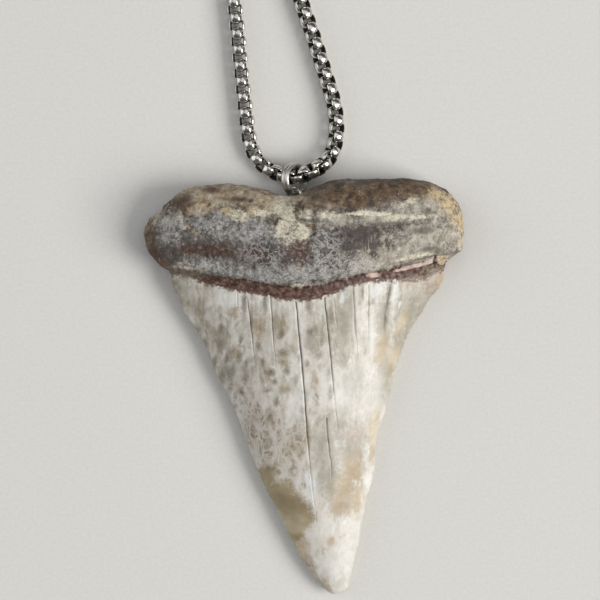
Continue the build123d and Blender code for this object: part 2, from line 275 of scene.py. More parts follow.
# Stains and crusts, and some painted shadow and sheen, each of patches: across and up from the
# notch, half the width and height, all in mm, and the lean in degrees
stains = {
    "tan": (
        (-14.1, 0.0, 11.25, 2.06, 1), (-6.1, -1.3, 4.88, 1.88, -8), (-18.2, -2.5, 4.12, 1.12, 5),
        (-26.7, -3.2, 1.5, 0.75, 35), (-0.1, -0.8, 1.88, 1.12, 0), (4.8, -1.9, 3, 0.94, 6),
        (-28.9, -7.5, 0.75, 2.62, 4), (24.7, 0.0, 2.44, 1.5, -30), (-20.7, -13.6, 2.62, 0.19, -6),
        (-8.3, -2.6, 2.25, 1.12, 0), (30.6, -8.6, 1.0, 2.2, 0),
    ),
    "blue_grey": (
        (-23.9, -6.0, 2.44, 3, 0), (-15.8, -5.5, 4.88, 2.62, 0), (-7.9, -6.8, 4.5, 2.62, 0),
        (3.7, -7.5, 1.88, 1.88, 0), (23.4, -6.6, 3, 0.94, 6), (5.6, -14.3, 5.62, 1.5, 5),
        (-7.2, -14.8, 8.25, 1.5, -7), (-17.5, -13.1, 4.88, 1.31, -8),
    ),
    "rust": (
        (-15.8, -10.1, 4.12, 1.12, -3), (-20.7, -10.3, 1.88, 0.94, -10), (-9.1, -10.5, 3, 1.31, -3),
        (-0.4, -10.5, 2.06, 2.25, 0), (-27.2, -11.3, 1.5, 1.88, 20), (-24.1, -1.5, 1.69, 0.94, 30),
        (-21.4, -0.6, 1.31, 0.75, 20), (-11.3, -0.8, 3, 0.47, -3), (-16.6, 0.9, 1.5, 0.56, 0),
        (26.2, -0.6, 0.94, 0.75, -40),
    ),
    "brown": (
        (-21.8, -1.7, 2.44, 0.94, 5), (8.4, -0.6, 7.88, 2.25, 3), (17.8, 0.9, 6.75, 2.25, -2),
        (23.4, 1.1, 2.81, 1.31, -25), (-28.6, -8.3, 1.69, 5.06, 8), (-27.4, -12.4, 2.81, 1.88, -38),
        (-24.2, -1.9, 1.69, 1.12, 30), (9.3, -0.8, 2.25, 1.12, 10), (18.3, 1.1, 2.62, 1.31, 0),
        (-0.1, -2.5, 0.56, 1.69, 0), (2.3, -6.2, 0.6, 1.88, 8), (-5.3, -5.3, 0.75, 1.12, 0),
        (4.1, -2.5, 1.88, 1.12, -10), (-21.4, -3.4, 0.94, 0.94, 30),
    ),
    "pale_grey": (
        (21.1, -2.8, 5.62, 1.88, 6), (23.8, -8.8, 5.62, 3.56, 8), (18.3, -11.6, 3.38, 2.25, 8),
        (28.6, -7.5, 1.5, 2.44, 0), (14.6, -4.1, 5.62, 1.31, 2), (6.5, -4.3, 3.75, 1.31, 2),
        (14.9, -12.8, 5.25, 1.31, 6), (25.4, -3.0, 2.62, 2.25, 0), (-24.2, -4.7, 1.69, 0.94, 20),
    ),
    "cream": (
        (-3.2, -2.5, 1.69, 2.25, 6), (-2.5, -6.0, 2.06, 2.25, 0), (-0.1, -6.6, 1.69, 1.5, 0),
        (-3.2, -0.6, 1.69, 1.12, 20), (1.1, -3.8, 1.31, 0.94, 0), (5.6, -3.8, 2.62, 0.56, 2),
        (12.1, -3.5, 4.12, 0.42, 0), (17.4, -4.0, 3.4, 0.60, -4), (21.7, -4.1, 2.25, 0.42, 4),
        (20.2, -1.3, 1.31, 0.56, 20), (-0.8, -16.9, 1.31, 0.38, 0), (-7.2, -3.4, 1.88, 0.75, -10),
        (21.7, -11.4, 2.81, 0.34, 11), (-11.2, -3.8, 1.31, 0.94, -5),
    ),
    "ochre": (
        (-10.9, -3.8, 1.12, 0.94, -8), (-13.4, -3.1, 1.5, 0.64, -14), (-17.7, -2.0, 1.69, 0.38, -4),
        (-20.3, -6.3, 1.5, 0.26, -37), (27.9, -1.7, 1.69, 2.06, -10), (29.0, -4.5, 0.75, 1.12, 0),
        (26.3, -12.1, 0.84, 1.12, -20), (25.8, 0.0, 1.69, 0.94, -25), (-9.1, -3.4, 1.12, 0.47, -10),
        (30.2, -2.9, 1.3, 2.6, -12), (30.3, -5.4, 1.2, 1.5, 0),
    ),
    # The patch under the scratch on the left and the three thinnest, along the root's ledge on the
    # right, are painted shadow; the rest are dark grey stains
    "dark_grey": (
        (22.8, -6.6, 2.06, 0.56, 4), (25.6, -10.3, 0.94, 0.56, 15), (-20.9, -8.1, 1.12, 0.38, 25),
        (23.8, -2.8, 0.56, 0.38, 0), (24.9, -3.2, 0.45, 0.3, 0), (17.4, -3.2, 0.41, 0.45, 0),
        (15.1, -5.5, 1.88, 0.38, 4), (-10.7, -2.5, 0.56, 0.38, 0), (-7.2, -2.3, 0.56, 0.38, 0),
        (-6.1, -4.3, 0.45, 0.45, 0), (19.4, -12.9, 1.69, 0.17, 12), (23.2, -11.7, 2.44, 0.17, 14),
        (26.9, -11.0, 1.5, 0.19, 6), (24.3, -10.0, 1.69, 0.38, 10),
    ),
    "speckle": (
        (-24.2, -6.0, 3, 3.19, 0), (-15.8, -5.5, 5.25, 2.62, 0), (-7.9, -6.8, 4.12, 2.62, 0),
        (-8.3, -15.2, 9.38, 1.5, -7), (-17.5, -13.0, 4.5, 1.31, -8), (4.1, -13.1, 4.5, 3, 10),
        (-0.1, -14.6, 4.88, 1.69, 0), (9.3, -12.4, 3.75, 1.5, 5),
    ),
    "loops": (
        (-6.8, -11.5, 4.12, 3, 0), (4.8, -9.4, 2.62, 6, 0), (-9.4, -7.5, 3.75, 1.5, 0),
        (9.3, -13.9, 3.75, 1.88, 0), (-0.1, -14.6, 3.75, 1.31, 0),
    ),
    "grooved": (
        (15.7, -10.5, 4.5, 3, 4), (23.8, -9.4, 4.88, 2.62, 8),
    ),
    # The glossy strip on the band, whose light colour is partly its own and partly painted sheen
    "gloss": (
        (20.4, -13.4, 3, 0.36, 15), (23.4, -12.6, 2.44, 0.39, 18), (25.4, -12.0, 0.75, 0.3, 10),
        (13.4, -14.9, 1.31, 0.49, 4),
    ),
    "mauve": (
        (-13.6, -10.3, 8.25, 1.5, -6), (9.7, -7.9, 7.5, 3.19, 2), (5.6, -10.1, 4.12, 4.12, 0),
        (15.9, -7.5, 3, 2.62, 0), (-7.2, -10.1, 5.25, 1.5, -6), (-21.4, -10.9, 2.62, 1.5, -10),
    ),
    "milk": (
        (-1.7, -21.4, 0.68, 4.88, 0), (4.6, -33.0, 0.94, 3.75, 0), (0.3, -28.0, 0.56, 3.75, 0),
        (9.7, -38.3, 3, 4.88, 0), (9.3, -68.3, 2.62, 5.62, -15), (-0.1, -37.3, 0.94, 3.75, 0),
        (13.8, -37.3, 1.5, 3.75, -12), (14.2, -55.5, 1.31, 6.38, -14), (7.4, -67.5, 3, 3.75, 0),
        (-5.7, -28.9, 0.75, 2.25, 0), (3.7, -20.6, 0.45, 2.25, 0), (10.4, -21.8, 0.56, 3.75, 0),
    ),
    "honey": (
        (13.8, -43.5, 0.94, 3.75, -8), (8.0, -54.8, 1.88, 2.62, -20), (7.1, -58.1, 1.31, 1.5, 0),
        (8.9, -58.1, 1.12, 1.5, -10), (13.4, -48.0, 0.66, 2.06, -8), (13.6, -45.0, 0.56, 1.5, -8),
        (15.1, -28.9, 1.12, 3, -10), (17.4, -30.4, 0.75, 3, -18), (19.1, -23.6, 0.75, 2.25, -24),
        (-0.2, -65.6, 1.5, 2.62, 24), (5.6, -64.5, 0.75, 0.94, 0), (26.6, -16.1, 1.12, 1.31, -30),
        (10.4, -57.0, 1.12, 2.62, -8), (9.2, -51.5, 1.5, 3.0, -10),
    ),
    "amber": (
        (-7.6, -53.5, 4.31, 2.06, 38), (-5.1, -56.3, 4.31, 2.81, 24), (-2.1, -58.3, 3.38, 3.38, 0),
        (-0.1, -59.8, 2.62, 3.19, 0), (-1.4, -62.5, 2.06, 1.88, -25),
    ),
    "tan_enamel": (
        (1.4, -68.6, 0.94, 2.25, 30), (-12.4, -21.8, 0.94, 1.12, 0), (-6.1, -33.0, 0.75, 1.88, 10),
        (-12.2, -29.3, 0.75, 1.31, -20), (-1.0, -45.8, 1.69, 1.31, 0), (-7.2, -45.8, 1.5, 1.5, 0),
        (-5.3, -49.1, 1.5, 1.69, 0), (1.4, -43.9, 0.56, 2.25, 0), (-3.1, -24.4, 1.03, 1.5, 0),
        (-7.7, -24.6, 1.12, 1.88, 0), (-3.2, -31.3, 0.9, 0.83, 0), (-3.1, -36.2, 0.86, 0.68, 0),
        (-1.0, -43.5, 0.68, 0.68, 0), (-3.9, -44.5, 0.68, 0.68, 0), (-2.5, -44.5, 0.49, 0.68, 0),
        (2.7, -34.7, 0.86, 1.59, 8), (-1.7, -46.9, 1.22, 1.5, 0), (-1.2, -51.0, 1.03, 1.88, 5),
        (-7.0, -47.3, 0.94, 1.12, 0), (3.3, -71.6, 0.47, 3, 30), (5.2, -73.3, 0.75, 0.94, 30),
        (1.1, -52.0, 0.75, 1.5, 0), (-4.0, -45.8, 0.94, 0.94, 0), (-0.1, -48.6, 0.75, 0.94, 0),
        (10.3, -51.4, 1.12, 3, 0), (26.6, -15.8, 1.12, 1.12, -30), (6.1, -64.5, 0.56, 0.75, 0),
        (4.4, -66.4, 0.56, 0.56, 0), (0.9, -54.0, 0.94, 0.75, 0), (-0.8, -64.7, 1.69, 1.69, 20),
        (-8.6, -41.0, 1.5, 2.4, 12), (-5.8, -42.6, 1.3, 2.2, 0), (-9.0, -45.2, 1.5, 1.6, 0),
        (-6.6, -50.4, 1.3, 1.2, 20), (4.6, -72.6, 0.75, 1.7, 35), (2.2, -69.8, 0.56, 1.7, 30),
        (-2.0, -47.6, 1.88, 3.0, 5),
    ),
    "rosy": (
        (23.6, -16.5, 3.38, 1.5, -32), (20.9, -16.3, 2.25, 0.94, -8),
        (25.4, -14.8, 1.31, 1.31, -35), (9.7, -43.0, 2.25, 3, 0),
    ),
    "clayey": (
        (20.9, -15.6, 3.38, 0.52, 4), (24.3, -14.3, 1.31, 1.31, -30), (-21.4, -14.6, 3, 0.94, -6),
        (26.4, -13.1, 0.94, 1.5, -20),
    ),
    "olive": (
        (-11.3, -30.0, 0.49, 1.12, -12), (-13.7, -30.4, 0.45, 0.94, -16),
        (-7.2, -34.1, 0.41, 0.94, 10), (-9.6, -39.8, 0.45, 0.75, -8), (-7.2, -42.0, 0.56, 0.94, 8),
        (-12.1, -37.3, 0.38, 0.94, -14), (-4.7, -34.7, 0.49, 0.56, -20),
        (-16.0, -31.1, 0.49, 1.12, -18), (-0.1, -30.2, 0.38, 0.75, 0), (-0.8, -34.5, 0.38, 0.94, 0),
        (-11.1, -27.0, 0.38, 0.94, -6), (-17.9, -27.8, 0.56, 0.94, -16),
        (-14.7, -24.8, 0.45, 0.94, 0), (-2.5, -32.6, 0.45, 0.75, 12), (2.9, -25.1, 0.41, 0.94, 0),
        (5.2, -33.0, 0.41, 1.12, 0), (5.6, -36.8, 0.45, 1.12, 0), (2.9, -37.9, 0.45, 1.12, 6),
        (0.3, -40.1, 0.45, 0.75, 0), (-14.9, -28.1, 0.56, 1.22, 0), (-13.0, -33.2, 0.68, 1.41, -18),
        (-10.2, -33.8, 0.56, 1.5, 0), (-10.1, -31.3, 0.34, 0.66, 0), (-7.0, -31.1, 0.34, 0.66, 0),
        (-6.2, -36.3, 0.94, 0.49, 8), (-5.4, -33.0, 0.75, 0.66, -20),
        (-3.2, -29.3, 0.66, 0.52, -15), (-3.6, -26.0, 0.56, 0.84, -10),
        (-13.1, -36.0, 0.56, 0.94, -20), (-11.0, -36.6, 0.45, 0.75, 0),
        (-11.9, -39.4, 0.45, 0.41, 0), (-11.2, -40.3, 0.34, 0.38, 0), (-8.0, -40.0, 0.56, 1.12, 12),
        (-5.8, -41.0, 0.6, 1.12, 0), (3.7, -29.7, 0.83, 0.83, 0), (1.2, -31.4, 0.41, 0.64, 0),
        (2.0, -25.5, 0.64, 0.64, 0), (4.0, -27.4, 0.34, 0.64, 0), (-9.3, -44.3, 0.86, 0.94, 0),
        (-23.5, -16.7, 1.5, 2.25, 20), (-14.7, -34.1, 0.84, 2.06, -20),
        (-19.3, -25.1, 0.75, 0.94, 0), (16.4, -19.0, 0.49, 2.62, -8), (-10.4, -19.5, 0.45, 2.62, 0),
        (-9.1, -22.9, 0.38, 1.88, 0), (1.6, -20.3, 0.56, 1.69, 0), (5.8, -22.5, 0.47, 2.25, 0),
        (-6.6, -20.1, 0.45, 1.88, 0), (11.6, -18.0, 0.28, 1.12, 0), (-4.4, -38.6, 0.47, 0.75, 0),
        (-9.1, -37.3, 0.41, 0.75, 0), (15.9, -23.3, 0.38, 1.5, -8), (-7.9, -28.0, 0.38, 0.94, 0),
        (4.2, -32.0, 0.75, 0.75, 0),
    ),
    "half_clear": (
        (15.9, -34.1, 1.69, 4.5, -8), (21.3, -20.6, 2.44, 3.38, -25), (8.2, -22.9, 1.69, 6, 0),
        (22.4, -21.8, 3.56, 4.5, -32), (4.4, -46.9, 1.88, 6.38, -3), (7.6, -43.5, 1.69, 4.12, 0),
        (25.4, -17.6, 1.88, 2.25, -35), (19.4, -28.0, 1.88, 4.12, -20), (5.2, -41.1, 2.62, 1.5, 0),
        (-7.0, -47.3, 2.25, 2.25, 0), (-0.1, -45.8, 1.88, 2.62, 0), (15.5, -22.9, 1.31, 4.12, 0),
        (8.4, -57.0, 1.88, 3.38, -10), (1.8, -27.0, 1.31, 2.25, 0), (10.3, -35.5, 1.5, 3.75, 0),
        (9.8, -47.5, 2.44, 5.25, -8), (5.4, -53.0, 2.25, 4.5, -4),
    ),
    "greyed": (
        (-20.3, -20.5, 4.5, 4.88, 0), (-16.4, -26.1, 4.12, 6.38, 20),
        (-12.1, -34.5, 3.94, 7.88, 18), (-7.9, -44.8, 4.5, 4.88, 15),
        (22.4, -23.3, 5.25, 8.25, -28), (-5.7, -25.1, 4.5, 6.38, 0), (5.6, -25.1, 4.5, 5.62, 0),
    ),
    "laced": (
        (-6.6, -46.1, 6.38, 5.62, 0), (-10.7, -39.2, 4.88, 3.75, 0), (0.3, -55.5, 1.88, 3.38, 0),
        (4.6, -65.5, 3.38, 3.75, 0), (-2.9, -50.5, 4.88, 4.12, 0), (3.3, -38.3, 1.88, 4.88, 0),
        (2.8, -58.9, 2.25, 3.75, 0),
    ),
    "chalk": (
        (14.0, -17.8, 0.41, 1.5, -20), (17.6, -18.0, 0.41, 1.59, -13),
        (18.5, -20.4, 0.26, 0.75, -12), (7.8, -19.1, 0.41, 1.03, -4), (2.4, -55.7, 0.38, 4.12, -3),
        (1.3, -52.9, 0.56, 1.88, 10),
    ),
}
# Each is 1 in its middle and 0.5 at its edge, and ends where the tooth turns under
seen_from_above = eased(-0.45, -0.05, normals[:, 2])
for stain, patches in stains.items():
    field = np.zeros(len(place))
    for across, upward, half_width, half_height, lean in patches:
        turn = radians(lean)
        x, y = place[:, 0] - across, place[:, 1] - upward
        along, over = x * cos(turn) + y * sin(turn), y * cos(turn) - x * sin(turn)
        field = np.maximum(field, 1 - 0.5 * np.hypot(along / half_width, over / half_height))
    kept = tooth.data.attributes.new(stain, "FLOAT", "POINT")
    kept.data.foreach_set("value", np.clip(field * seen_from_above, 0, 1).astype(np.float32))
for name, field in (
    ("over_band_top", over_top), ("over_band_foot", over_foot), ("crack", crack_depth),
    ("pits", pits * on_root),
):
    kept = tooth.data.attributes.new(name, "FLOAT", "POINT")
    kept.data.foreach_set("value", np.clip(field, -9, 9).astype(np.float32))


def linear(hex_colour):
    """An sRGB hex colour as linear red, green, blue and alpha."""
    parts = [int(hex_colour[at:at + 2], 16) / 255 for at in (1, 3, 5)]
    shades = [
        part / 12.92 if part <= 0.04045 else ((part + 0.055) / 1.055) ** 2.4
        for part in parts
    ]
    return shades + [1.0]


def add(tree, kind, inputs=None, output=0, stops=(), **settings):
    """Adds one node with its settings and links, and gives back one of its outputs."""
    node = tree.nodes.new("ShaderNode" + kind)
    for name, value in settings.items():
        setattr(node, name, value)
    for number, (at, hex_colour) in enumerate(stops):
        stop = node.color_ramp.elements[number] if number < 2 else node.color_ramp.elements.new(at)
        stop.position, stop.color = at, linear(hex_colour)
    for name, value in (inputs or {}).items():
        if isinstance(value, bpy.types.NodeSocket):
            tree.links.new(value, node.inputs[name])
        else:
            node.inputs[name].default_value = value
    return node.outputs[output]


def new_material(name):
    """A new material, with its node tree and its surface."""
    material = bpy.data.materials.new(name)
    material.use_nodes = True
    return material, material.node_tree, material.node_tree.nodes["Principled BSDF"]


# Fossil dentine and enamel: a dull porous root, and a crown with a faint natural polish
fossil, tree, surface = new_material("fossil_dentine_and_enamel")
object_place = add(tree, "TexCoord", output="Object")
# Three noises crumble the edges of the stains. The finest is drawn as coarse as it needs to show.
cloud, crumb, grit = [
    add(
        tree, "TexNoise",
        {"Vector": object_place, "Scale": 1 / (size * mm), "Detail": detail, "Roughness": roughness}
    )
    for size, detail, roughness in ((2.4, 5.0, 0.62), (0.75, 3.0, 0.65), (0.32, 2.0, 0.6))
]
ragged = -1.65  # which brings the sum of the three to about 0
for grains, weight in ((cloud, 1.5), (crumb, 1.3), (grit, 0.5)):
    ragged = add(tree, "Math", {0: grains, 1: weight, 2: ragged}, operation="MULTIPLY_ADD")
# A mix of two colours, whose inputs are 0 for the share, 6 for the first and 7 for the second
of_colours = {"output": 2, "data_type": "RGBA"}


def stained(name, soft, reach, most):
    """How far a stain covers, with an edge that breaks up into crumbs."""
    spread = add(tree, "Attribute", output="Fac", attribute_name=name)
    spread = add(tree, "Math", {0: ragged, 1: reach, 2: spread}, operation="MULTIPLY_ADD")
    return add(
        tree, "MapRange",
        {"Value": spread, "From Min": 0.5 - soft, "From Max": 0.5 + soft, "To Max": most},
        interpolation_type="SMOOTHSTEP"
    )


def laid(colour, layers):
    """A colour with stains laid over it in turn. Each layer says the stain, its softness, its
    crumbling, its most cover, the pattern that it follows, and its dark and its light colour."""
    for stain, soft, reach, most, pattern, *stops in layers:
        tint = add(tree, "ValToRGB", {"Fac": pattern}, stops=stops)
        cover = stained(stain, soft, reach, most)
        colour = add(tree, "Mix", {0: cover, 6: colour, 7: tint}, **of_colours)
    return colour


def drawn_out(size, detail, roughness, stretch=(1, 1, 1), shift=0, turn=0, distortion=0):
    """A noise of one size in mm, stretched along the tooth and shifted, so that no two agree."""
    moved = add(
        tree, "Mapping",
        {
            "Vector": object_place, "Location": (shift, shift, shift), "Rotation": (0, 0, turn),
            "Scale": stretch
        }
    )
    return add(
        tree, "TexNoise",
        {
            "Vector": moved, "Scale": 1 / (size * mm), "Detail": detail, "Roughness": roughness,
            "Distortion": distortion
        }
    )


def curls(size, thickness, stretch, shift):
    """Thin wandering lines, where a smooth noise passes its middle value."""
    wavy = drawn_out(size, 2.0, 0.5, stretch, shift, distortion=0.7)
    wavy = add(tree, "Math", {0: wavy, 1: 0.5}, operation="SUBTRACT")
    wavy = add(tree, "Math", {0: wavy}, operation="ABSOLUTE")
    return add(
        tree, "MapRange", {"Value": wavy, "From Min": thickness, "From Max": thickness * 0.2},
        interpolation_type="SMOOTHSTEP"
    )


# Grains: filled pores, each as light or dark as chance made it. Real ones are about 0.1 mm, and
# they are drawn about 0.46 mm apart, as coarse as they need to be to show.
bent_place = add(
    tree, "TexNoise", {"Vector": object_place, "Scale": 1 / (0.9 * mm), "Detail": 1.0},
    output="Color"
)
bent_place = add(
    tree, "VectorMath", {0: bent_place, 1: (0.5 * mm, 0.5 * mm, 0.5 * mm), 2: object_place},
    operation="MULTIPLY_ADD"
)
pore_middle = add(tree, "TexVoronoi", {"Vector": bent_place, "Scale": 1 / (0.46 * mm)})
pore_chance = add(
    tree, "TexVoronoi", {"Vector": bent_place, "Scale": 1 / (0.46 * mm)}, output="Color"
)
pore_chance = add(tree, "SeparateColor", {0: pore_chance})
round_grain = add(
    tree, "MapRange", {"Value": pore_middle, "From Min": 0.80, "From Max": 0.25},
    interpolation_type="SMOOTHSTEP"
)
thick_with = add(tree, "Attribute", output="Fac", attribute_name="speckle")
thick_with = add(tree, "Math", {0: ragged, 1: 0.9, 2: thick_with}, operation="MULTIPLY_ADD")
thick_with = add(
    tree, "MapRange",
    {"Value": thick_with, "From Min": 0.22, "From Max": 0.95, "To Min": 0.0, "To Max": 0.74}
)
light_grain = add(tree, "Math", {0: thick_with, 1: pore_chance}, operation="SUBTRACT")
light_grain = add(
    tree, "MapRange", {"Value": light_grain, "From Min": -0.12, "From Max": 0.26, "To Max": 0.62}
)
light_grain = add(tree, "Math", {0: light_grain, 1: round_grain}, operation="MULTIPLY")
dark_grain = add(
    tree, "MapRange", {"Value": pore_chance, "From Min": 0.82, "From Max": 0.95, "To Max": 0.38}
)
dark_grain = add(tree, "Math", {0: dark_grain, 1: round_grain}, operation="MULTIPLY")

# Root, bare porous dentine
mottle = drawn_out(1.5, 4.0, 0.62, shift=4.4)
root_colour = add(
    tree, "ValToRGB", {"Fac": cloud},
    stops=((0.34, "#463d37"), (0.50, "#625953"), (0.68, "#847b73"))
)
root_colour = laid(root_colour, (
    ("blue_grey", 0.45, 0.7, 0.85, crumb, (0.34, "#67635e"), (0.64, "#afaca7")),
    ("mauve", 0.45, 0.7, 0.85, crumb, (0.34, "#3b3430"), (0.64, "#625a54")),
    ("tan", 0.42, 0.8, 0.95, mottle, (0.34, "#a58c68"), (0.64, "#eddec2")),
    ("brown", 0.36, 0.8, 0.95, mottle, (0.34, "#33241a"), (0.64, "#8a7052")),
    ("pale_grey", 0.36, 0.8, 0.92, mottle, (0.34, "#938b79"), (0.64, "#d6cfc2")),
    ("rust", 0.36, 0.7, 0.90, crumb, (0.34, "#3b251c"), (0.64, "#6c4e41")),
))
grain_colour = add(
    tree, "Mix",
    {0: stained("blue_grey", 0.4, 0.3, 1.0), 6: linear("#c4b9a3"), 7: linear("#d0d0cc")},
    **of_colours
)
root_colour = add(tree, "Mix", {0: light_grain, 6: root_colour, 7: grain_colour}, **of_colours)
root_colour = add(tree, "Mix", {0: dark_grain, 6: root_colour, 7: linear("#3d3028")}, **of_colours)
wormy = add(tree, "Math", {0: curls(1.0, 0.080, (1, 0.6, 1), 3.1), 1: 0.72}, operation="MULTIPLY")
wormy = add(tree, "Math", {0: wormy, 1: thick_with}, operation="MULTIPLY")
root_colour = add(tree, "Mix", {0: wormy, 6: root_colour, 7: linear("#ceccc6")}, **of_colours)
looped = add(
    tree, "Math", {0: curls(2.8, 0.050, (1, 1, 1), 7.7), 1: curls(1.5, 0.045, (1, 1, 1), 9.1)},
    operation="MAXIMUM"
)
looped = add(tree, "Math", {0: looped, 1: stained("loops", 0.4, 0.5, 0.75)}, operation="MULTIPLY")
root_colour = add(tree, "Mix", {0: looped, 6: root_colour, 7: linear("#bdbbb6")}, **of_colours)
strands = drawn_out(0.5, 2.0, 0.5, stretch=(1, 0.07, 1))
strands = add(
    tree, "MapRange", {"Value": strands, "From Min": 0.52, "From Max": 0.63},
    interpolation_type="SMOOTHSTEP"
)
strands = add(
    tree, "Math", {0: strands, 1: stained("grooved", 0.4, 0.6, 0.7)}, operation="MULTIPLY"
)
root_colour = add(tree, "Mix", {0: strands, 6: root_colour, 7: linear("#c0b8a6")}, **of_colours)
root_colour = laid(root_colour, (
    ("ochre", 0.30, 0.9, 0.88, crumb, (0.30, "#a88d67"), (0.56, "#dac6a1")),
    ("cream", 0.30, 0.65, 0.92, crumb, (0.30, "#aea389"), (0.56, "#efe8d1")),
    # dark grey stains, and painted shadow under the scratch and along the ledge
    ("dark_grey", 0.34, 0.6, 0.75, crumb, (0.30, "#3b3630"), (0.56, "#6b665c")),
))
hollowed = add(tree, "Attribute", output="Fac", attribute_name="pits")
hollowed = add(tree, "Math", {0: hollowed, 1: 0.6}, operation="MULTIPLY")
root_colour = add(tree, "Mix", {0: hollowed, 6: root_colour, 7: linear("#2f241d")}, **of_colours)
dusty = add(
    tree, "MapRange",
    {"Value": grit, "From Min": 0.30, "From Max": 0.70, "To Min": 0.77, "To Max": 1.15}
)
root_colour = add(tree, "HueSaturation", {"Color": root_colour, "Value": dusty})

# Dark band of thin root tissue over the top of the crown, red brown and granular
band_colour = add(
    tree, "ValToRGB", {"Fac": crumb},
    stops=((0.36, "#3a221c"), (0.52, "#5d3f33"), (0.68, "#8d6f5f"))
)
band_grain = add(tree, "Math", {0: light_grain, 1: 0.35}, operation="MULTIPLY")
band_colour = add(tree, "Mix", {0: band_grain, 6: band_colour, 7: linear("#b29c8d")}, **of_colours)
band_colour = laid(band_colour, (
    ("clayey", 0.30, 0.6, 0.9, crumb, (0.34, "#574b3c"), (0.62, "#93836f")),
))
# The glossy strip on the band's right is less rough, and its light pink is partly its own colour
# and partly painted sheen
gloss_and_sheen = stained("gloss", 0.16, 0.20, 1.0)
pink_and_sheen_colour = add(tree, "ValToRGB", {"Fac": cloud}, stops=((0.36, "#b38c7e"), (0.58, "#ecd8ce")))
band_colour = add(tree, "Mix", {0: gloss_and_sheen, 6: band_colour, 7: pink_and_sheen_colour}, **of_colours)

# Crown enamel: greyish and half clear where sound, chalky white in streaks where leached
streak = drawn_out(1.8, 5.0, 0.60, stretch=(1, 0.55, 0.7), shift=3.3, distortion=0.4)
powder = drawn_out(0.7, 4.0, 0.62, stretch=(1, 0.55, 0.7), shift=3.3)
fibres = drawn_out(1.0, 2.0, 0.5, stretch=(1, 0.045, 0.3), shift=8.2)
over_foot_here = add(tree, "Attribute", output="Fac", attribute_name="over_band_foot")
near_root = add(
    tree, "MapRange",
    {"Value": over_foot_here, "From Min": -8.9, "From Max": -2.5, "To Min": 0.10, "To Max": 1.0}
)
milky = add(tree, "Math", {0: fibres, 1: 0.5}, operation="SUBTRACT")
milky = add(tree, "Math", {0: milky, 1: near_root, 2: streak}, operation="MULTIPLY_ADD")
crown_colour = add(
    tree, "ValToRGB", {"Fac": milky},
    stops=((0.32, "#bfb8a8"), (0.43, "#dbd5c8"), (0.52, "#e9e5dc"), (0.66, "#f3f1ea"))
)
crown_colour = laid(crown_colour, (
    ("greyed", 0.50, 0.5, 0.66, streak, (0.34, "#938770"), (0.64, "#cbc2b0")),
    ("half_clear", 0.36, 0.5, 0.86, cloud, (0.34, "#958f80"), (0.64, "#bbb5a5")),
    ("tan_enamel", 0.38, 0.7, 0.80, powder, (0.34, "#85735a"), (0.64, "#c4b193")),
    ("olive", 0.42, 0.50, 0.80, powder, (0.34, "#625a48"), (0.64, "#968d79")),
    ("rosy", 0.42, 0.5, 0.75, powder, (0.34, "#a28e7b"), (0.64, "#c6b5a5")),
))
spots = drawn_out(1.15, 3.5, 0.62, stretch=(1, 0.38, 0.7), shift=5.1, distortion=0.4)
spots = add(
    tree, "MapRange", {"Value": spots, "From Min": 0.49, "From Max": 0.70},
    interpolation_type="SMOOTHSTEP"
)
spots = add(tree, "Math", {0: spots, 1: stained("greyed", 0.45, 0.9, 0.66)}, operation="MULTIPLY")
crown_colour = add(tree, "Mix", {0: spots, 6: crown_colour, 7: linear("#8f8674")}, **of_colours)
laced = add(
    tree, "Math",
    {0: curls(2.6, 0.075, (1, 0.6, 0.7), 5.9), 1: curls(1.6, 0.070, (1, 0.6, 0.7), 6.3)},
    operation="MAXIMUM"
)
laced = add(tree, "Math", {0: laced, 1: stained("laced", 0.5, 0.9, 0.72)}, operation="MULTIPLY")
crown_colour = add(tree, "Mix", {0: laced, 6: crown_colour, 7: linear("#e8e0d6")}, **of_colours)
crown_colour = laid(crown_colour, (
    ("milk", 0.45, 0.7, 0.72, powder, (0.34, "#d3d0c5"), (0.60, "#ebe9e2")),
    ("chalk", 0.24, 0.50, 0.88, powder, (0.34, "#dddddb"), (0.58, "#f0f1f1")),
))
banded = drawn_out(4.0, 3.0, 0.5, stretch=(0.5, 1, 1), turn=radians(35))
amber_colour = add(
    tree, "ValToRGB", {"Fac": banded},
    stops=((0.34, "#94815c"), (0.50, "#a5946f"), (0.64, "#c2b492"))
)
crown_colour = laid(crown_colour, (
    ("honey", 0.42, 0.5, 0.70, banded, (0.36, "#b2976d"), (0.62, "#d8c7a5")),
))
clear = stained("amber", 0.16, 0.34, 0.92)
crown_colour = add(tree, "Mix", {0: clear, 6: crown_colour, 7: amber_colour}, **of_colours)
fringe = add(
    tree, "Math", {0: stained("amber", 0.34, 0.6, 1.0), 1: clear}, operation="SUBTRACT",
    use_clamp=True
)
fringe = add(tree, "Math", {0: fringe, 1: powder}, operation="MULTIPLY")
fringe = add(tree, "MapRange", {"Value": fringe, "From Min": 0.06, "From Max": 0.30, "To Max": 0.8})
crown_colour = add(tree, "Mix", {0: fringe, 6: crown_colour, 7: linear("#ebe7de")}, **of_colours)

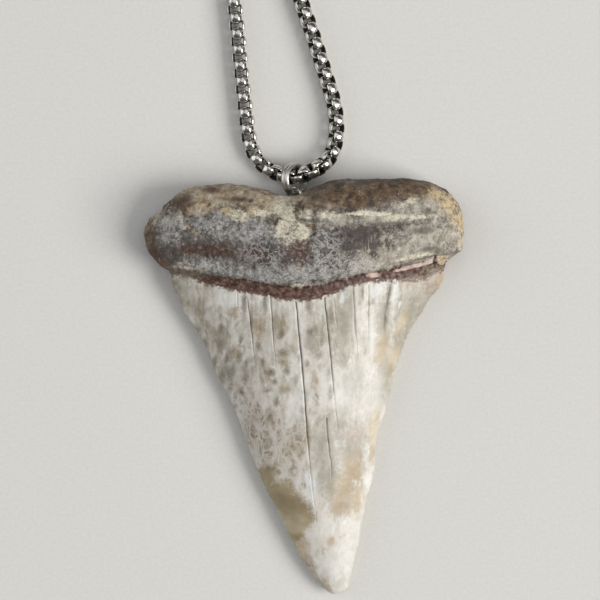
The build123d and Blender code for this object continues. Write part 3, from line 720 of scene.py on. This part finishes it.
# Root, band and crown meet in ragged lines, and the cracks are darkened along their grooves
crumbs = add(tree, "Math", {0: crumb, 1: 0.5}, operation="SUBTRACT")
foot_ragged = add(tree, "Math", {0: crumbs, 1: 2.4, 2: over_foot_here}, operation="MULTIPLY_ADD")
foot_ragged = add(tree, "MapRange", {"Value": foot_ragged, "From Min": -0.25, "From Max": 0.20})
over_top_here = add(tree, "Attribute", output="Fac", attribute_name="over_band_top")
top_ragged = add(tree, "Math", {0: crumbs, 1: 1.8, 2: over_top_here}, operation="MULTIPLY_ADD")
top_ragged = add(tree, "MapRange", {"Value": top_ragged, "From Min": -0.25, "From Max": 0.30})
off_gloss_and_sheen = add(tree, "Math", {0: 1.0, 1: gloss_and_sheen}, operation="SUBTRACT")
on_root_share = add(tree, "Math", {0: top_ragged, 1: off_gloss_and_sheen}, operation="MULTIPLY")
on_band_share = add(tree, "Math", {0: foot_ragged, 1: gloss_and_sheen}, operation="MAXIMUM")
colour = add(tree, "Mix", {0: on_band_share, 6: crown_colour, 7: band_colour}, **of_colours)
colour = add(tree, "Mix", {0: on_root_share, 6: colour, 7: root_colour}, **of_colours)
cracked = add(tree, "Attribute", output="Fac", attribute_name="crack")
cracked = add(
    tree, "MapRange", {"Value": cracked, "From Min": 0.35, "From Max": 0.9, "To Max": 0.9}
)
colour = add(tree, "Mix", {0: cracked, 6: colour, 7: linear("#35302a")}, **of_colours)
tree.links.new(colour, surface.inputs["Base Color"])
surface.inputs["IOR"].default_value = 1.6
dullness = add(tree, "MapRange", {"Value": on_root_share, "To Min": 0.50, "To Max": 0.80})
dullness = add(tree, "Math", {0: gloss_and_sheen, 1: -0.26, 2: dullness}, operation="MULTIPLY_ADD")
dullness = add(tree, "Math", {0: clear, 1: -0.12, 2: dullness}, operation="MULTIPLY_ADD")
tree.links.new(dullness, surface.inputs["Roughness"])
height = add(tree, "Math", {0: grit, 1: 0.06}, operation="MULTIPLY")
height = add(tree, "Math", {0: crumb, 1: 0.10, 2: height}, operation="MULTIPLY_ADD")
height = add(tree, "Math", {0: light_grain, 1: 0.03, 2: height}, operation="MULTIPLY_ADD")
root_height = add(tree, "MapRange", {"Value": on_root_share, "To Min": 0.10})
height = add(tree, "Math", {0: height, 1: root_height}, operation="MULTIPLY")
height = add(tree, "Math", {0: streak, 1: 0.02, 2: height}, operation="MULTIPLY_ADD")
bumps = add(tree, "Bump", {"Strength": 0.8, "Distance": 1.0 * mm, "Height": height})
tree.links.new(bumps, surface.inputs["Normal"])
tooth.data.materials.clear()
tooth.data.materials.append(fossil)
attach(tooth, "root")
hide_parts("shark_tooth")

# Wire eye: a loop of stainless wire on a shank, which is glued in a hole under the lip of the
# root. It is bought polished, so it stays the plain wire that it is in the solids.


def marked_steel(name, size, smoothest, roughest):
    """Bare steel with fine marks of one size all over, which vary how rough it is."""
    steel, tree, surface = new_material(name)
    surface.inputs["Metallic"].default_value = 1.0
    place = add(tree, "TexCoord", output="Object")
    marks = add(
        tree, "TexNoise", {"Vector": place, "Scale": 1 / size, "Detail": 3.0, "Roughness": 0.6}
    )
    shine = add(
        tree, "MapRange",
        {"Value": marks, "From Min": 0.3, "From Max": 0.7, "To Min": smoothest, "To Max": roughest}
    )
    tree.links.new(shine, surface.inputs["Roughness"])
    return steel, tree, surface, marks


# Polished steel mirrors the room, a little blurred by scuffs, which are drawn as coarse as shows
polished, tree, surface, scuffs = marked_steel("polished_stainless_steel", 0.35 * mm, 0.16, 0.27)
steel_colour = add(tree, "ValToRGB", {"Fac": scuffs}, stops=((0.3, "#d6d3cc"), (0.7, "#e9e6e0")))
tree.links.new(steel_colour, surface.inputs["Base Color"])
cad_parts["screw_eye"].material_slots[0].material = polished

# Split ring: two coils of round stainless wire sprung flat together, with filed ends. It carries
# the tooth on the chain, through the wire eye.
ring_tilt = radians(50)
ring_wire = 0.86 * mm
ring_radius = 2.66 * mm
coil_pitch = 0.865 * mm
ring_place = notch + ring_middle * mm
jog = radians(34)  # half the turn over which the wire crosses from one coil to the next
filed = 0.08 * mm
ring_shape = bmesh.new()
bmesh.ops.create_circle(ring_shape, cap_ends=False, segments=12, radius=ring_wire / 2)
bmesh.ops.rotate(
    ring_shape, verts=ring_shape.verts, cent=(0, 0, 0), matrix=Matrix.Rotation(pi / 2, 3, "X")
)
bmesh.ops.translate(ring_shape, verts=ring_shape.verts, vec=(ring_radius, 0, -coil_pitch / 2))
bmesh.ops.rotate(
    ring_shape, verts=ring_shape.verts, cent=(0, 0, 0), matrix=Matrix.Rotation(jog, 3, "Z")
)
loop = ring_shape.edges[:]
first_loop = loop
steps = 112
for at in range(steps):
    turn = jog + (4 * pi - 2 * jog) * at / steps
    next_turn = jog + (4 * pi - 2 * jog) * (at + 1) / steps
    rise = [
        coil_pitch * float(eased(2 * pi - jog, 2 * pi + jog, np.array(angle)))
        for angle in (turn, next_turn)
    ]
    grown = bmesh.ops.extrude_edge_only(ring_shape, edges=loop)["geom"]
    new_verts = [item for item in grown if isinstance(item, bmesh.types.BMVert)]
    new_edges = [item for item in grown if isinstance(item, bmesh.types.BMEdge)]
    loop = [edge for edge in new_edges if all(vert in new_verts for vert in edge.verts)]
    bmesh.ops.rotate(
        ring_shape, verts=new_verts, cent=(0, 0, 0),
        matrix=Matrix.Rotation(next_turn - turn, 3, "Z")
    )
    bmesh.ops.translate(ring_shape, verts=new_verts, vec=(0, 0, rise[1] - rise[0]))
bmesh.ops.contextual_create(ring_shape, geom=first_loop)
bmesh.ops.contextual_create(ring_shape, geom=loop)
caps = [face for face in ring_shape.faces if len(face.verts) > 4]
cap_edges = [edge for face in caps for edge in face.edges]
bmesh.ops.bevel(
    ring_shape, geom=cap_edges, offset=filed, affect="EDGES", segments=2, profile=0.5, material=-1
)
bmesh.ops.recalc_face_normals(ring_shape, faces=ring_shape.faces)
# The jog is turned to the lower end, behind the lip of the root, and the ring's left side is up
lean = Matrix.Translation(ring_place) @ Matrix.Rotation(ring_tilt, 4, "Y")
lean @= Matrix.Rotation(-pi / 2, 4, "Z")
bmesh.ops.transform(ring_shape, matrix=lean, verts=ring_shape.verts)


def finished(name, shape):
    """The object that a modelled shape becomes, in the scene."""
    mesh = bpy.data.meshes.new(name)
    shape.to_mesh(mesh)
    shape.free()
    piece = bpy.data.objects.new(name, mesh)
    bpy.context.scene.collection.objects.link(piece)
    return piece


ring = finished("split_ring_wire", ring_shape)
ring.data.shade_smooth()
# The die that the wire was drawn through left it duller, with marks that are as coarse as shows
drawn, tree, surface, _ = marked_steel("drawn_stainless_wire", 0.3 * mm, 0.27, 0.40)
surface.inputs["Base Color"].default_value = linear("#e4e1db")
ring.data.materials.append(drawn)
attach(ring, "root")
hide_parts("split_ring")

# Round box chain: stainless strip bent into rounded rings and closed, each turned a quarter from
# the last and hooked through it. Tumbling polishes the outside and leaves the inside dull.
link_half_length, link_half_width = 1.30 * mm, 1.50 * mm
link_advance = 1.49 * mm
strip_thickness = 0.47 * mm
end_link_inset = 1.785 * mm  # the middle of each end link, which a ring of the clasp goes through
half_chain = 1.5  # mm, the height of the chain's middle when it lies on the table

# The chain's path from one ring of the clasp to the other, in mm from the split ring's middle
chain_route = (
    (-12.0, 243.0, 0.0), (-23.0, 243.0, 0.0), (-40.0, 237.0, 0.0), (-55.0, 224.0, 0.0),
    (-65.5, 205.5, 0.0), (-70.0, 183.0, 0.0), (-68.5, 158.5, 0.0), (-60.5, 134.5, 0.0),
    (-48.0, 112.0, 0.0), (-34.0, 91.5, 0.0), (-22.0, 72.0, 0.0), (-14.5, 53.0, 0.0),
    (-11.2, 33.6, 0.0), (-10.2, 22.4, 0.0), (-9.1, 11.9, 0.0), (-8.3, 5.9, 0.0), (-6.2, 2.7, 0.0),
    (-3.3, 1.1, 0.0), (0.0, 0.3, 1.2), (3.2, 1.3, 3.1), (5.6, 2.8, 1.0), (7.3, 5.2, 0.0),
    (8.0, 9.3, 0.0), (7.5, 14.1, 0.0), (5.8, 19.4, 0.0), (3.4, 27.1, 0.0), (1.0, 33.6, 0.0),
    (-1.3, 42.4, 0.0), (-1.8, 53.9, 0.0), (1.6, 68.0, 0.0), (9.6, 84.5, 0.0), (21.0, 102.0, 0.0),
    (34.5, 121.0, 0.0), (47.5, 141.0, 0.0), (57.5, 163.0, 0.0), (62.5, 186.5, 0.0),
    (60.0, 209.5, 0.0), (50.5, 228.0, 0.0), (36.0, 239.0, 0.0), (19.0, 243.0, 0.0),
    (8.0, 243.0, 0.0),
)
route = bpy.data.curves.new("chain_route", "CURVE")
route.dimensions = "3D"
line = route.splines.new("NURBS")
line.points.add(len(chain_route) - 1)
for point, (across, upward, rise) in zip(line.points, chain_route):
    at = Vector((ring_place.x, ring_place.y, 0)) + Vector((across, upward, rise + half_chain)) * mm
    point.co = (*at, 1.0)
line.order_u = 3
line.use_endpoint_u = True
line.resolution_u = 40
route_object = bpy.data.objects.new("chain_route", route)
bpy.context.scene.collection.objects.link(route_object)
bpy.context.view_layer.update()
depsgraph = bpy.context.evaluated_depsgraph_get()
followed = bpy.data.meshes.new_from_object(route_object.evaluated_get(depsgraph))
line_points = [vert.co.copy() for vert in followed.vertices]
bpy.data.objects.remove(route_object)
stretches = [(after - before).length for before, after in zip(line_points, line_points[1:])]
distances = np.concatenate(([0], np.cumsum(stretches)))
route_length = distances[-1]
link_count = 2 * round((route_length - 2 * end_link_inset) / link_advance / 2) + 1
advance = (route_length - 2 * end_link_inset) / (link_count - 1)


def on_route(distance):
    """The point of the chain's middle line at a distance along it."""
    return Vector([
        float(np.interp(distance, distances, [point[axis] for point in line_points]))
        for axis in range(3)
    ])


# One link: a strip's section spun round, then squared off and narrowed where links hook together
link = bmesh.new()
half_strip = 0.95 * mm
spun_radius = 1.0 * mm
outer_power, bore_gain = 3.0, 5.2  # how square the outside is, and how much squarer the bore
corner_pull = radians(4.5)  # how far the spin's steps at 30 degrees move towards the corners
narrowing = 0.20  # of the strip's width, at the two ends of the link
section = ((-0.90, 0.0), (-1.0, 0.42), (-0.60, 0.94), (0.60, 0.94), (1.0, 0.42), (0.90, 0.0))
verts = [
    link.verts.new((spun_radius + up * strip_thickness, 0, side * half_strip))
    for side, up in section
]
for first, second in zip(verts, verts[1:] + verts[:1]):
    link.edges.new((first, second))
bmesh.ops.spin(
    link, geom=link.verts[:] + link.edges[:], cent=(0, 0, 0), axis=(0, 0, 1), angle=2 * pi,
    steps=12, use_merge=True
)
bmesh.ops.remove_doubles(link, verts=link.verts, dist=0.001 * mm)
bmesh.ops.recalc_face_normals(link, faces=link.faces)
for vert in link.verts:
    radius = (vert.co.x ** 2 + vert.co.y ** 2) ** 0.5
    angle = atan2(vert.co.y, vert.co.x)
    angle += corner_pull * sin(4 * angle) * 2 / 3 ** 0.5
    outward = radius - spun_radius - strip_thickness
    power = outer_power - bore_gain * outward / strip_thickness / 2
    along, across = cos(angle), sin(angle)
    squared = (abs(along) ** power + abs(across) ** power) ** (-1 / power)
    vert.co.z *= 1 - narrowing * abs(along * squared) ** 3
    vert.co.x = along * squared * (link_half_length + outward)
    vert.co.y = across * squared * (link_half_width + outward)

# The bore's faces are the second material's
for face in link.faces:
    middle = face.calc_center_median()
    middle.z = 0
    face.material_index = 1 if face.normal.dot(middle) < -0.3 * middle.length else 0
    face.smooth = True
link_mesh = bpy.data.meshes.new("chain_link")
link.to_mesh(link_mesh)
link.free()

# How the links are rolled about the chain by the split ring: mm past the ring, and degrees
twists = ((-40, 4), (-25, 6), (-6, 12), (0, 40), (6, 34), (14, 24), (45, 20), (90, 0))
through_ring = ring_place + Vector((0, 0.3, 0)) * mm
from_ring = [(point - through_ring).length for point in line_points]
ring_distance = distances[from_ring.index(min(from_ring))]
span = advance * 0.6  # each way from a link, for the direction that it lies in
chain_shape = bmesh.new()
for number in range(link_count):
    distance = end_link_inset + number * advance
    before = on_route(max(distance - span, 0))
    after = on_route(min(distance + span, route_length))
    forward = (after - before).normalized()
    level = Vector((0, 0, 1)).cross(forward).normalized()
    upright = forward.cross(level)
    twist = float(np.interp((distance - ring_distance) / mm, *zip(*twists)))
    roll = radians(twist + (0 if number % 2 else 90))
    side = level * cos(roll) + upright * sin(roll)
    axle = forward.cross(side)
    turn = Matrix((forward, side, axle)).transposed().to_4x4()
    count = len(chain_shape.verts)
    chain_shape.from_mesh(link_mesh)
    chain_shape.verts.ensure_lookup_table()
    placed = chain_shape.verts[count:]
    bmesh.ops.transform(
        chain_shape, matrix=Matrix.Translation(on_route(distance)) @ turn, verts=placed
    )
    # A link that is turned between flat and upright lies on its corner
    lift = max(0, -min(vert.co.z for vert in placed))
    bmesh.ops.translate(chain_shape, verts=placed, vec=(0, 0, lift))
chain = finished("round_box_chain", chain_shape)
chain.data.materials.append(polished)

# The bores are rough, and their dark colour is painted shade, varied by marks that are as coarse as
# shows
dull, tree, surface, bore_marks = marked_steel("unpolished_shaded_steel_inside_links", 0.5 * mm, 0.42, 0.6)
painted_shade_colour = add(tree, "ValToRGB", {"Fac": bore_marks}, stops=((0.3, "#28251f"), (0.7, "#4a463f")))
tree.links.new(painted_shade_colour, surface.inputs["Base Color"])
chain.data.materials.append(dull)
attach(chain, "root")
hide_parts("chain")

# Clasp: one plain stainless body with a ring at each end, behind the neck. It is cast in one
# piece and polished.
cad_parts["clasp"].material_slots[0].material = polished

# The studio: a plain pale table, a large soft light on the right, where the tooth's shadows fall
# from, and a weaker one on the left. The camera looks straight down.
floor_shape = bmesh.new()
bmesh.ops.create_grid(floor_shape, x_segments=1, y_segments=1, size=1.5)
floor = finished("table", floor_shape)
# Matt paint, which hardly shines, with a grain that is drawn as coarse as shows
board, tree, surface = new_material("pale_painted_board")
board_place = add(tree, "TexCoord", output="Object")
paint = add(
    tree, "TexNoise",
    {"Vector": board_place, "Scale": 1 / (0.6 * mm), "Detail": 3.0, "Roughness": 0.6}
)
paint_colour = add(tree, "ValToRGB", {"Fac": paint}, stops=((0.3, "#e6e4df"), (0.7, "#ecebe6")))
tree.links.new(paint_colour, surface.inputs["Base Color"])
surface.inputs["Roughness"].default_value = 0.85
floor.data.materials.append(board)

frame_middle = Vector((4.925, -106.92, 0)) * mm
frame_width = 112.5 * mm
camera_height = 1.2
sensor_width = 36
camera_data = bpy.data.cameras.new("camera")
camera_data.sensor_width = sensor_width
camera_data.lens = sensor_width * camera_height / frame_width
camera_data.clip_start = 0.05
camera = bpy.data.objects.new("camera", camera_data)
camera.location = frame_middle + Vector((0, 0, camera_height))
bpy.context.scene.collection.objects.link(camera)
bpy.context.scene.camera = camera


def soft_light(name, direction, distance, size, power, colour="#ffffff"):
    """A square soft light that faces the tooth from a direction."""
    lamp = bpy.data.lights.new(name, "AREA")
    lamp.size = size
    lamp.energy = power
    lamp.color = linear(colour)[:3]
    light = bpy.data.objects.new(name, lamp)
    towards = Vector(direction).normalized()
    light.location = frame_middle + towards * distance
    light.rotation_euler = towards.to_track_quat("Z", "Y").to_euler()
    bpy.context.scene.collection.objects.link(light)


soft_light("window", (0.80, -0.22, 0.62), 2.0, 1.1, 33.0, "#fffdfa")
soft_light("fill", (-0.85, 0.15, 0.55), 2.0, 1.9, 12.6, "#f8faff")
soft_light("overhead", (0.15, 0.25, 1.0), 2.2, 2.2, 10.6)
world = bpy.data.worlds.new("studio")
world.use_nodes = True
background = world.node_tree.nodes["Background"]
background.inputs["Color"].default_value = linear("#8a8c90")
background.inputs["Strength"].default_value = 0.32
bpy.context.scene.world = world
bpy.context.scene.view_settings.view_transform = "Standard"
